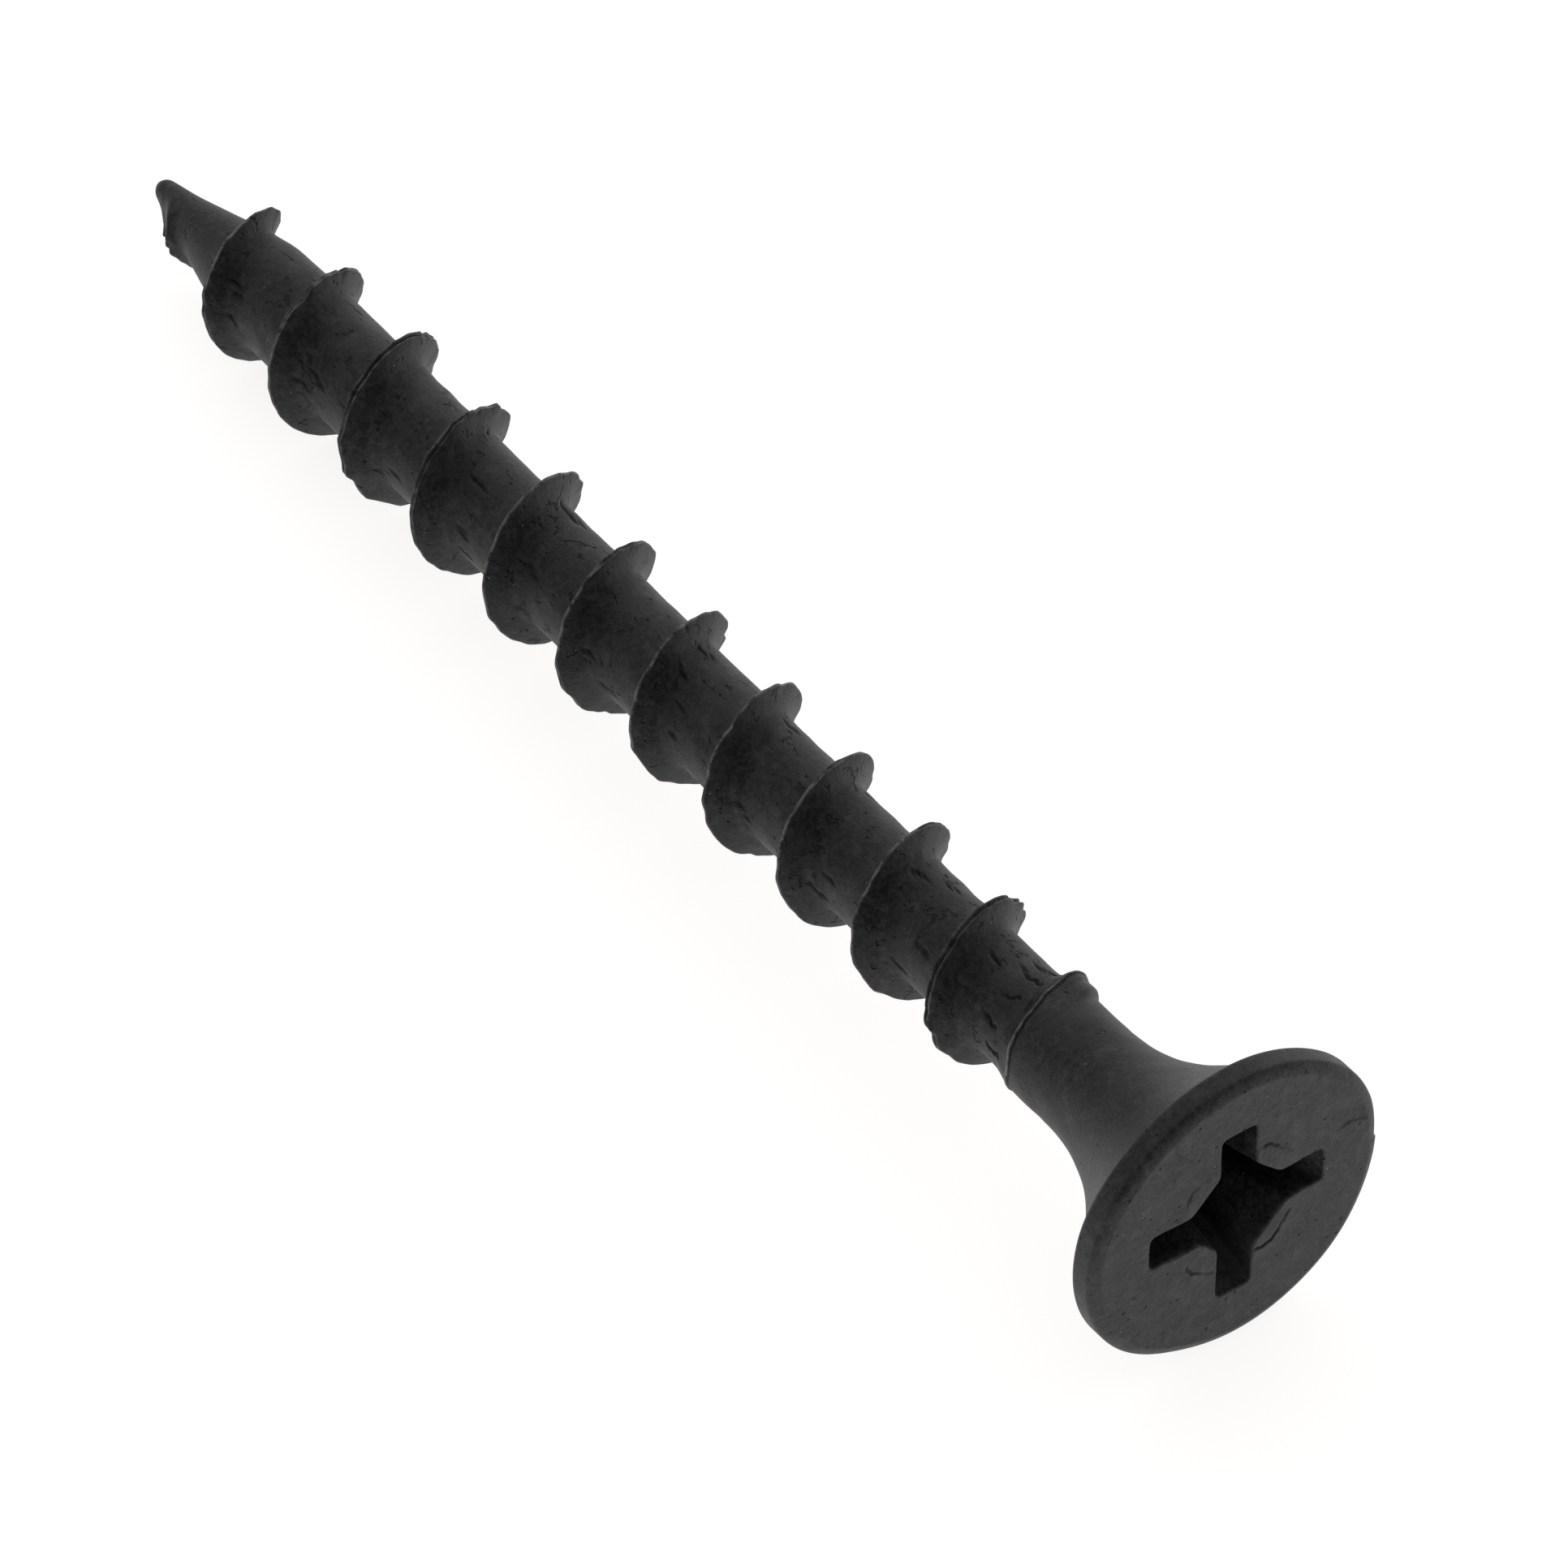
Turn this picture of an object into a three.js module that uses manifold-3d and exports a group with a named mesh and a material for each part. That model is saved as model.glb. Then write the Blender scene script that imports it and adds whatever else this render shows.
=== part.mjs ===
// A coarse-thread screw with a bugle head and a cross recess: one piece of cold-headed,
// thread-rolled steel wire. Millimetres. The screw's axis is X with the head towards +X, and the
// origin is the centre of the head's flat face. "Station" is a distance from the point along the axis.
import * as THREE from "three";
import { mergeVertices } from "three/addons/utils/BufferGeometryUtils.js";
import Module from "manifold-3d";

const OVERALL_LENGTH = 41.3;

const HEAD_DIAMETER = 8.2;
const RIM_HEIGHT = 0.79; // from the flat face to where the bugle flare starts
const RIM_TOP_ROUND = 0.1;
const RIM_UNDER_ROUND = 0.17;
const FLARE_LENGTH = 4.78;
const FLARE_POWER = 2.2; // how late the neck swells into the head

const SHANK_DIAMETER = 2.84;
const SHANK_START = 34.6; // station where the rolled part ends and the drawn wire starts
const SHANK_STEP_LENGTH = 0.2;
const CORE_DIAMETER = 2.43;
const POINT_DIAMETER = 0.48;
const POINT_ROUND = 0.12;
const POINT_SLOPE = 0.243; // gain in radius per millimetre along the gimlet point

const THREAD_DIAMETER = 3.83;
const PITCH = 2.82;
const CREST_WIDTH = 0.12;
const RIDGE_WAIST_WIDTH = 0.4;
const RIDGE_WAIST_SHARE = 0.3; // height of the waist as a share of the ridge's height
const RIDGE_FOOT_WIDTH = 1.15;
const FOOT_DEPTH = 0.22; // how far the ridge's foot reaches into the core
const NARROWEST_RIDGE = 0.3; // share of the full widths where the ridge has next to no height
const THREAD_ANGLE_AT_POINT = 0.17; // radians about the axis, from +Y towards +Z
const THREAD_START = 0.5; // stations
const THREAD_END = 34.75;
const LOW_THREAD_FULL = 3.1; // where the low thread of the point is as high as it gets
const FULL_THREAD = 8.75; // where the thread reaches its full height
const LOW_THREAD_SHARE = 0.7;
const RUN_OUT_START = 31.4;
const RUN_OUT_SHARE = 0.3; // height left where the thread stops

const RECESS_SPAN = 4.98; // wing tip to wing tip at the flat face
const RECESS_DEPTH = 2.6; // to the foot of the tapered wings
const RECESS_BOTTOM_DIAMETER = 2.36;
const RECESS_CONE_DEPTH = 0.35;
const WING_WIDTH_TOP = 1.0;
const WING_WIDTH_BOTTOM = 0.72;
const RECESS_CORE_TOP = 1.9; // across the bevels between the wings
const RECESS_CORE_BOTTOM = 1.35;
const RECESS_TURN = -0.03; // radians, of the wings from the Y and Z axes
const CLEAR_ABOVE = 0.4; // how far the cutter stands out of the face

const AROUND = 40; // flat sides round the body
const FLARE_STEPS = 9;
const STEPS_PER_TURN = 24;
const WELD = 1e-4; // vertices closer than this are one

const wasm = await Module();
wasm.setup();

// A closed three.js geometry as a solid that can be joined and cut.
function solid(geometry) {
  geometry.deleteAttribute("normal");
  geometry.deleteAttribute("uv");
  const merged = mergeVertices(geometry, WELD);
  return new wasm.Manifold(
    new wasm.Mesh({
      numProp: 3,
      vertProperties: merged.getAttribute("position").array,
      triVerts: new Uint32Array(merged.index.array),
    }),
  );
}

// A solid as a three.js geometry, with flat-shaded faces.
function geometryOf(made) {
  const mesh = made.getMesh();
  const indexed = new THREE.BufferGeometry();
  indexed.setAttribute("position", new THREE.BufferAttribute(mesh.vertProperties, 3));
  indexed.setIndex(new THREE.BufferAttribute(mesh.triVerts, 1));
  const geometry = indexed.toNonIndexed();
  geometry.computeVertexNormals();
  return geometry;
}

// Radius of the screw under its thread, from the cone of the point to the core.
function coreRadius(station) {
  const cone = POINT_DIAMETER / 2 + POINT_SLOPE * station;
  return Math.min(cone, CORE_DIAMETER / 2);
}

// The point, core, shank, bugle flare, rim and flat face, turned round the axis.
function bodyGeometry() {
  const headRadius = HEAD_DIAMETER / 2;
  const shankRadius = SHANK_DIAMETER / 2;
  const tipRadius = POINT_DIAMETER / 2;
  const coneEnd = (CORE_DIAMETER / 2 - tipRadius) / POINT_SLOPE;
  const rimFoot = OVERALL_LENGTH - RIM_HEIGHT;
  const neck = rimFoot - FLARE_LENGTH;
  const flareRise = headRadius - RIM_UNDER_ROUND - shankRadius;
  const outline = [];
  const lineTo = (radius, station) => outline.push(new THREE.Vector2(radius, station));
  lineTo(0, 0);
  lineTo(tipRadius - POINT_ROUND, 0);
  lineTo(tipRadius, POINT_ROUND);
  lineTo(CORE_DIAMETER / 2, coneEnd);
  lineTo(CORE_DIAMETER / 2, SHANK_START);
  lineTo(shankRadius, SHANK_START + SHANK_STEP_LENGTH);
  lineTo(shankRadius, neck);
  for (let i = 1; i <= FLARE_STEPS; i++) {
    const share = i / FLARE_STEPS;
    lineTo(shankRadius + flareRise * share ** FLARE_POWER, neck + FLARE_LENGTH * share);
  }
  lineTo(headRadius, rimFoot + RIM_UNDER_ROUND);
  lineTo(headRadius, OVERALL_LENGTH - RIM_TOP_ROUND);
  lineTo(headRadius - RIM_TOP_ROUND, OVERALL_LENGTH);
  lineTo(0, OVERALL_LENGTH);
  const geometry = new THREE.LatheGeometry(outline, AROUND);
  geometry.rotateZ(-Math.PI / 2);
  geometry.translate(-OVERALL_LENGTH, 0, 0);
  return geometry;
}

// Height of the thread's crest over the core: low on the point, then full, then running out.
function crestHeight(station) {
  const { smoothstep, lerp } = THREE.MathUtils;
  const full = (THREAD_DIAMETER - CORE_DIAMETER) / 2;
  const low = LOW_THREAD_SHARE * smoothstep(station, THREAD_START, LOW_THREAD_FULL);
  const grown = (1 - LOW_THREAD_SHARE) * smoothstep(station, LOW_THREAD_FULL, FULL_THREAD);
  const fade = smoothstep(station, RUN_OUT_START, THREAD_END);
  return full * (low + grown) * lerp(1, RUN_OUT_SHARE, fade);
}

// The ridge's section at one station, as [shift along the axis, radius] pairs: foot, waist and
// crest on the point's side, then back down on the head's side. A lower ridge is narrower too.
function ridgeSection(station) {
  const root = coreRadius(station);
  const height = crestHeight(station);
  const fullHeight = (THREAD_DIAMETER - CORE_DIAMETER) / 2;
  const spread = THREE.MathUtils.lerp(NARROWEST_RIDGE, 1, height / fullHeight) / 2;
  const foot = Math.max(root - FOOT_DEPTH, root / 2);
  const waist = root + RIDGE_WAIST_SHARE * height;
  const crest = root + height;
  return [
    [-RIDGE_FOOT_WIDTH * spread, foot],
    [-RIDGE_WAIST_WIDTH * spread, waist],
    [-CREST_WIDTH * spread, crest],
    [CREST_WIDTH * spread, crest],
    [RIDGE_WAIST_WIDTH * spread, waist],
    [RIDGE_FOOT_WIDTH * spread, foot],
  ];
}

// The right-hand thread: the ridge's section carried along a helix, with a flat cap at each end.
function threadGeometry() {
  const turns = (THREAD_END - THREAD_START) / PITCH;
  const steps = Math.ceil(turns * STEPS_PER_TURN);
  const corners = ridgeSection(THREAD_START).length;
  const positions = [];
  const index = [];
  for (let i = 0; i <= steps; i++) {
    const station = THREE.MathUtils.lerp(THREAD_START, THREAD_END, i / steps);
    const angle = THREAD_ANGLE_AT_POINT + (2 * Math.PI * station) / PITCH;
    for (const [shift, radius] of ridgeSection(station)) {
      const along = station + shift - OVERALL_LENGTH;
      positions.push(along, radius * Math.cos(angle), radius * Math.sin(angle));
    }
  }
  for (let i = 0; i < steps; i++) {
    for (let j = 0; j < corners; j++) {
      const a = i * corners + j;
      const b = i * corners + ((j + 1) % corners);
      index.push(a, a + corners, b, b, a + corners, b + corners);
    }
  }
  const last = steps * corners;
  for (let j = 1; j < corners - 1; j++) {
    index.push(0, j, j + 1);
    index.push(last, last + j + 1, last + j);
  }
  const geometry = new THREE.BufferGeometry();
  geometry.setAttribute("position", new THREE.Float32BufferAttribute(positions, 3));
  geometry.setIndex(index);
  return geometry;
}

// One slot of the cross: a drafted trapezium as long as the recess, its mouth at x = 0.
function wingSolid(turn) {
  const draft = (WING_WIDTH_TOP - WING_WIDTH_BOTTOM) / 2 / RECESS_DEPTH;
  const floor = RECESS_DEPTH + RECESS_CONE_DEPTH;
  const halfMouth = WING_WIDTH_TOP / 2 + draft * CLEAR_ABOVE;
  const halfFloor = WING_WIDTH_TOP / 2 - draft * floor;
  const outline = new THREE.Shape();
  outline.moveTo(CLEAR_ABOVE, -halfMouth);
  outline.lineTo(CLEAR_ABOVE, halfMouth);
  outline.lineTo(-floor, halfFloor);
  outline.lineTo(-floor, -halfFloor);
  outline.closePath();
  const length = HEAD_DIAMETER;
  const geometry = new THREE.ExtrudeGeometry(outline, { depth: length, bevelEnabled: false });
  geometry.translate(0, 0, -length / 2);
  geometry.rotateX(turn);
  return solid(geometry);
}

// The four-sided core of the cross, whose flats bevel the corners between the wings.
function recessCoreSolid(turn) {
  const growth = (RECESS_CORE_TOP - RECESS_CORE_BOTTOM) / RECESS_DEPTH;
  const floor = RECESS_DEPTH + RECESS_CONE_DEPTH;
  const cornerShare = Math.SQRT2 / 2; // from across the flats to the corner radius
  const top = (RECESS_CORE_TOP + growth * CLEAR_ABOVE) * cornerShare;
  const bottom = (RECESS_CORE_TOP - growth * floor) * cornerShare;
  const height = floor + CLEAR_ABOVE;
  const geometry = new THREE.CylinderGeometry(top, bottom, height, 4);
  geometry.translate(0, CLEAR_ABOVE - height / 2, 0);
  geometry.rotateZ(-Math.PI / 2);
  geometry.rotateX(turn);
  return solid(geometry);
}

// The cone that tapers the wings' outer ends and closes the bottom of the recess.
function recessConeSolid() {
  const taper = (RECESS_SPAN - RECESS_BOTTOM_DIAMETER) / 2 / RECESS_DEPTH;
  const outline = [
    new THREE.Vector2(0, -RECESS_DEPTH - RECESS_CONE_DEPTH),
    new THREE.Vector2(RECESS_BOTTOM_DIAMETER / 2, -RECESS_DEPTH),
    new THREE.Vector2(RECESS_SPAN / 2 + taper * CLEAR_ABOVE, CLEAR_ABOVE),
    new THREE.Vector2(0, CLEAR_ABOVE),
  ];
  const geometry = new THREE.LatheGeometry(outline, AROUND);
  geometry.rotateZ(-Math.PI / 2);
  return solid(geometry);
}

// The driver recess as a cutter.
function recessSolid() {
  const wings = wingSolid(RECESS_TURN).add(wingSolid(RECESS_TURN + Math.PI / 2));
  return wings.add(recessCoreSolid(RECESS_TURN)).intersect(recessConeSolid());
}

function screwMesh() {
  const phosphate = new THREE.MeshStandardMaterial({
    name: "black_phosphate",
    color: 0x2c2c2d,
    roughness: 0.72,
    metalness: 0.25,
  });
  const made = solid(bodyGeometry()).add(solid(threadGeometry())).subtract(recessSolid());
  const mesh = new THREE.Mesh(geometryOf(made), phosphate);
  mesh.name = "screw";
  return mesh;
}

const part = new THREE.Group();
part.add(screwMesh());

export default part;
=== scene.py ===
import bpy
import numpy as np
from mathutils import Matrix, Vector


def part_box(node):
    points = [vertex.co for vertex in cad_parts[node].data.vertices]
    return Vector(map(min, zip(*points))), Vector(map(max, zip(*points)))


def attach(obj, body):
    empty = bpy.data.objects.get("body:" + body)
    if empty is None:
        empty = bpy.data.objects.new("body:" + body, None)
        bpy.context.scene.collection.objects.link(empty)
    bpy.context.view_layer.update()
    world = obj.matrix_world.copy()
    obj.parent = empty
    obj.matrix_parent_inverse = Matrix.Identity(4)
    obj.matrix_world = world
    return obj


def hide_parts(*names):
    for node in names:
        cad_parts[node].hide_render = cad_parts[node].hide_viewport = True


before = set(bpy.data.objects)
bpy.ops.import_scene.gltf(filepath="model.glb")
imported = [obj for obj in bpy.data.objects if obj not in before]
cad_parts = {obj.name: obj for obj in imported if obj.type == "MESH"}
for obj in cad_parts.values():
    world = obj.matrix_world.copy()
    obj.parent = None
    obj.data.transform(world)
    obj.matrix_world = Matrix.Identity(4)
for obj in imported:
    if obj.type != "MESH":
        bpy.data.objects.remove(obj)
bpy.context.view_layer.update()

# The screw: one piece of carbon steel wire. Its bugle head and cross recess are struck cold from
# the end of the wire, its point is pinched and its coarse right-hand thread is rolled on between
# dies. The whole of it is then coated with matte black phosphate.

MM = 0.001
low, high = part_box("screw")
LENGTH = (high.x - low.x) / MM  # the head's face is at station LENGTH, the point at station 0
HEAD_RADIUS = (high.y - low.y) / 2 / MM


def smooth_step(value, start, end):
    """0 up to start, 1 from end on, and 3t^2 - 2t^3 of the share t of the way between them."""
    share = np.clip((value - start) / (end - start), 0, 1)
    return share * share * (3 - 2 * share)


def bell(distance, width):
    """A rounded bump of height 1: e to the power of minus the square of distance over width."""
    return np.exp(-((distance / width) ** 2))


def turned(angle, centre):
    """The angle from centre to angle, the short way round."""
    return (angle - centre + np.pi) % (2 * np.pi) - np.pi


def ripple(station, angle, finest, radius, seed, waves=14):
    """A seeded sum of sine waves that run in every direction over a cylinder, mostly from -1 to 1.
    Each has a whole number of waves round the screw, and none is much shorter than finest."""
    random = np.random.default_rng(seed)
    along = random.uniform(-1, 1, waves) * 2 * np.pi / finest
    around = np.round(random.uniform(-1, 1, waves) * 2 * np.pi * radius / finest)
    phase = random.uniform(0, 2 * np.pi, waves)
    total = sum(
        np.sin(along[k] * station + around[k] * angle + phase[k]) for k in range(waves)
    )
    return total / np.sqrt(waves)


def wander(distance, finest, seed, waves=12):
    """A seeded sum of sine waves along a line, mostly from -1 to 1, none shorter than finest."""
    random = np.random.default_rng(seed)
    rates = random.uniform(0.1, 1, waves) * 2 * np.pi / finest
    phases = random.uniform(0, 2 * np.pi, waves)
    total = sum(np.sin(rates[k] * distance + phases[k]) for k in range(waves))
    return total / np.sqrt(waves)


PITCH = 2.82
CREST_ANGLE = 0.17  # of the crest at station 0, from +Y towards +Z, if the thread started there


def from_crest(station, angle):
    """How far along the axis a point lies from the nearest crest of the helix, positive towards
    the head: what is left of the station in turns, less the angle in turns, times the pitch."""
    turns = station / PITCH - (angle - CREST_ANGLE) / (2 * np.pi)
    return (turns - np.round(turns)) * PITCH


# The stations at which the lap starts to open, is open, starts to close and is shut.
OPEN_NEAR_POINT = (3.6, 4.6, 12.0, 13.6)
OPEN_NEAR_SHANK = (29.6, 30.4, 32.2, 32.9)


def stretch(value, start, full, fading, end):
    """1 from full to fading, 0 before start and after end, with smooth steps between."""
    return smooth_step(value, start, full) * (1 - smooth_step(value, fading, end))


def lap_share(crest):
    """Where the two sides of the rolled crest haven't closed, 0 to 1, by the crest's station: two
    long stretches, the first of them uneven, and short seeded ones half as open between."""
    near_point = stretch(crest, *OPEN_NEAR_POINT)
    near_shank = stretch(crest, *OPEN_NEAR_SHANK)
    between = 0.5 * smooth_step(wander(crest, 0.9, 21), 0.35, 0.9)
    open_share = 0.55 + 0.45 * wander(crest, 0.8, 22)
    return np.clip(near_point * open_share + near_shank + between, 0, 1)


FACETS_PER_TURN = 11
FACET_DEPTH = 0.05
CREST_LOSSES = [  # station of the crest, length along the axis, and depth; a swelling is negative
    (3.0, 0.25, -0.035),
    (4.3, 0.4, 0.05),
    (4.72, 0.1, 0.07),
    (5.9, 0.2, 0.045),
    (29.8, 0.6, -0.05),
    (31.3, 0.2, 0.07),
    (32.6, 0.45, -0.05),
]
DENTS = 46
DENTED_FROM = 1.2
DENTED_TO = 33.5
CREST_ROUGHNESS = 0.016


def crest_loss(crest, angle):
    """How far the crest falls short of its circle: chords left by the die, which are parabolas
    FACET_DEPTH deep, bell-shaped dents at seeded and at given stations, and fine roughness."""
    faces = (angle + 0.25 * np.sin(crest * 1.3)) * FACETS_PER_TURN / (2 * np.pi)
    within = faces - np.floor(faces) - 0.5
    flatness = smooth_step(wander(crest, 1.4, 31), -0.25, 0.8)
    chords = FACET_DEPTH * flatness * (1 - 4 * within**2)
    random = np.random.default_rng(32)
    places = random.uniform(DENTED_FROM, DENTED_TO, DENTS)
    widths = random.uniform(0.018, 0.07, DENTS)
    depths = random.uniform(0.02, 0.11, DENTS)
    dents = sum(depths[k] * bell(crest - places[k], widths[k]) for k in range(DENTS))
    known = sum(depth * bell(crest - at, length) for at, length, depth in CREST_LOSSES)
    return chords + dents + known + CREST_ROUGHNESS * wander(crest, 0.1, 33)


RIDGE_HEIGHT = 0.675
THREAD_START = 0.5
LOW_THREAD_FULL = 2.7  # the station by which the ridge has LOW_THREAD_SHARE of its height
LOW_THREAD_SHARE = 0.8
FULL_THREAD = 8.75
RUN_OUT_START = 32.2
RUN_OUT_SHARE = 0.3
THREAD_END = 33.75


def ridge_height(crest):
    """The height of the crest above the core, by the crest's station: it rises from the point in
    two smooth steps, falls to RUN_OUT_SHARE of itself where rolling ends, and then stops."""
    low_part = LOW_THREAD_SHARE * smooth_step(crest, THREAD_START, LOW_THREAD_FULL)
    grown = (1 - LOW_THREAD_SHARE) * smooth_step(crest, LOW_THREAD_FULL, FULL_THREAD)
    fade = smooth_step(crest, RUN_OUT_START, THREAD_END)
    full = RIDGE_HEIGHT * (low_part + grown) * (1 - (1 - RUN_OUT_SHARE) * fade)
    ended = 1 - smooth_step(crest, THREAD_END - 0.1, THREAD_END + 0.35)
    return full * ended


CREST_FLAT = 0.03
CREST_LAP_FLAT = 0.085
FLANK_WIDTH = 0.29
RIDGE_FOOT = 0.17


def ridge_share(distance, lap):
    """The section of the ridge, 1 at the crest: a narrow flat, wider where the crest is lapped,
    then straight flanks that meet the core in a tight fillet, one branch of a hyperbola."""
    flat = CREST_FLAT + (CREST_LAP_FLAT - CREST_FLAT) * lap
    share = 1 - np.maximum(np.abs(distance) - flat, 0) / FLANK_WIDTH
    return (share + np.hypot(share, RIDGE_FOOT)) / (1 + np.hypot(1, RIDGE_FOOT))


NOSE_RADIUS = 0.215
NOSE_LENGTH = 0.26
POINT_SLOPE = 0.258
POINT_CORNER = 0.14
CORE_RADIUS = 1.26


def core_radius(station):
    """The lesser of a cone and the cylinder of the core, with a soft corner where they meet, and
    a blunt nose that is a quarter of an ellipse."""
    cone = NOSE_RADIUS + POINT_SLOPE * station
    gap = np.hypot(cone - CORE_RADIUS, POINT_CORNER)
    blunt = 1 - np.clip(station / NOSE_LENGTH, 0, 1)
    return (cone + CORE_RADIUS - gap) / 2 * np.sqrt(1 - blunt**2)


STEP_STATION = LENGTH - 7.06
STEP_SLANT = 0.45
STEP_ANGLE = np.radians(176)
STEP_SAGS = [(2.48, 0.28, 0.08), (3.75, 0.35, 0.12)]  # angle, width and depth
STEP_WAVES = [(11, 0.012), (23, 0.008)]  # waves to a turn, and height


def step_station(angle):
    """The station at which the fatter, unrolled shank starts: a slanting line with two sags and
    two small waves."""
    slant = STEP_SLANT * np.cos(angle - STEP_ANGLE)
    sag = sum(depth * bell(turned(angle, at), width) for at, width, depth in STEP_SAGS)
    waves = sum(height * np.sin(count * angle) for count, height in STEP_WAVES)
    return STEP_STATION + slant - sag + waves


HEAP_HEIGHT = 0.22
HEAP_ENDS = (-7.88, -7.56, -6.95, -6.66)  # where it rises, is up, falls and is gone
HEAP_SLOPE_START = -7.5
HEAP_DROP = 0.06
HEAP_NICK = -7.18
HEAP_ANGLE = 0.5
HEAP_TURN = np.radians(30)  # the angle at which HEAP_ENDS hold; elsewhere they follow the helix
CREASE_PLACE = -7.1
CREASE_ANGLE = 1.9
CREASE_LEAN = 0.5
CREASE_DEPTH = 0.05


def run_out(station, angle):
    """The metal heaped up where the last ridge stops, less a crease beside it. The heap is
    HEAP_HEIGHT high, slopes down by HEAP_DROP towards the head and has one nick. Places along it
    are measured from the face."""
    behind_face = station - LENGTH
    x = behind_face - PITCH * turned(angle, HEAP_TURN) / (2 * np.pi)
    across = 1 - smooth_step(np.abs(turned(angle, HEAP_ANGLE)), 0.3, 0.85)
    slope = HEAP_DROP * smooth_step(x, HEAP_SLOPE_START, HEAP_ENDS[2])
    heap = (HEAP_HEIGHT - slope - 0.03 * bell(x - HEAP_NICK, 0.08)) * stretch(x, *HEAP_ENDS)
    aside = turned(angle, CREASE_ANGLE)
    crease = CREASE_DEPTH * bell(behind_face - CREASE_PLACE - CREASE_LEAN * aside, 0.05)
    return heap * across - crease * bell(aside, 0.35)


FISSURES_PER_TURN = 6
FISSURE_WIDTH = 0.038
CROWDED_ANGLE = 2.8
LONE_FISSURES = [  # station, angle in degrees, half length, lean and strength
    (33.65, 148, 0.24, 0.6, 1.2),
    (33.93, 177, 0.3, 0.26, 1.4),
    (33.45, 59, 0.36, -0.48, 1.2),
    (33.5, 84, 0.42, 0.0, 1.1),
    (33.62, 115, 0.32, -0.38, 0.9),
    (31.03, 140, 0.25, 0.6, 1.1),
    (30.19, 66, 0.18, -0.8, 1.0),
]


def fissures(station, angle):
    """How near each point is to one of the short fissures that rolling tears in the core, 0 to 1.
    They run along the screw, wriggle as two sine waves, and half of them crowd round one angle,
    just before each crest. The lone ones lie near the neck."""
    random = np.random.default_rng(71)
    crests = PITCH * np.repeat(np.arange(1.5, 12), FISSURES_PER_TURN)
    count = len(crests)
    crowded = random.random(count) < 0.5
    near_side = random.normal(CROWDED_ANGLE, 0.5, count)
    at_angle = np.where(crowded, near_side, random.uniform(0, 2 * np.pi, count))
    turn_start = PITCH * (at_angle - CREST_ANGLE) / (2 * np.pi)
    at = crests + turn_start - random.uniform(0.2, 1.5, count)
    half = random.uniform(0.15, 0.45, count)
    lean = random.normal(0, 0.22, count)
    strength = random.uniform(0.6, 1.3, count)
    wave = random.uniform(0, 2 * np.pi, count)
    lone = np.array(LONE_FISSURES).T
    at = np.append(at, lone[0])
    at_angle = np.append(at_angle, np.radians(lone[1]))
    half = np.append(half, lone[2])
    lean = np.append(lean, lone[3])
    strength = np.append(strength, lone[4])
    wave = np.append(wave, lone[0])
    total = np.zeros(station.shape)
    for k in range(len(at)):
        along = station - at[k]
        wriggle = 0.05 * np.sin(11 * along + wave[k]) + 0.025 * np.sin(29 * along)
        path = lean[k] * along + wriggle
        aside = turned(angle, at_angle[k]) * CORE_RADIUS - path
        ends = 1 - smooth_step(np.abs(along), 0.6 * half[k], half[k])
        total = np.maximum(total, strength[k] * ends * bell(aside, FISSURE_WIDTH))
    return np.minimum(total, 1)


SHANK_RADIUS = 1.43
STEP_RISE = 0.22  # how far before the step the core starts to rise towards it
STEP_LONG_RISE = 0.45  # how much sooner it starts on one side
STEP_LONG_RISE_ANGLE = np.radians(200)
STEP_LIP_HEIGHT = 0.03
STEP_CRACK_DEPTH = 0.02
LAP_DEPTH = 0.09
LAP_WIDTH = 0.042
FISSURE_DEPTH = 0.055
CORE_UNEVENNESS = 0.009
NIB_HEIGHT = 0.2  # of a ragged scrap of metal beside the point
NIB_STATION = 1.15
NIB_ANGLE = np.radians(212)


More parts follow.
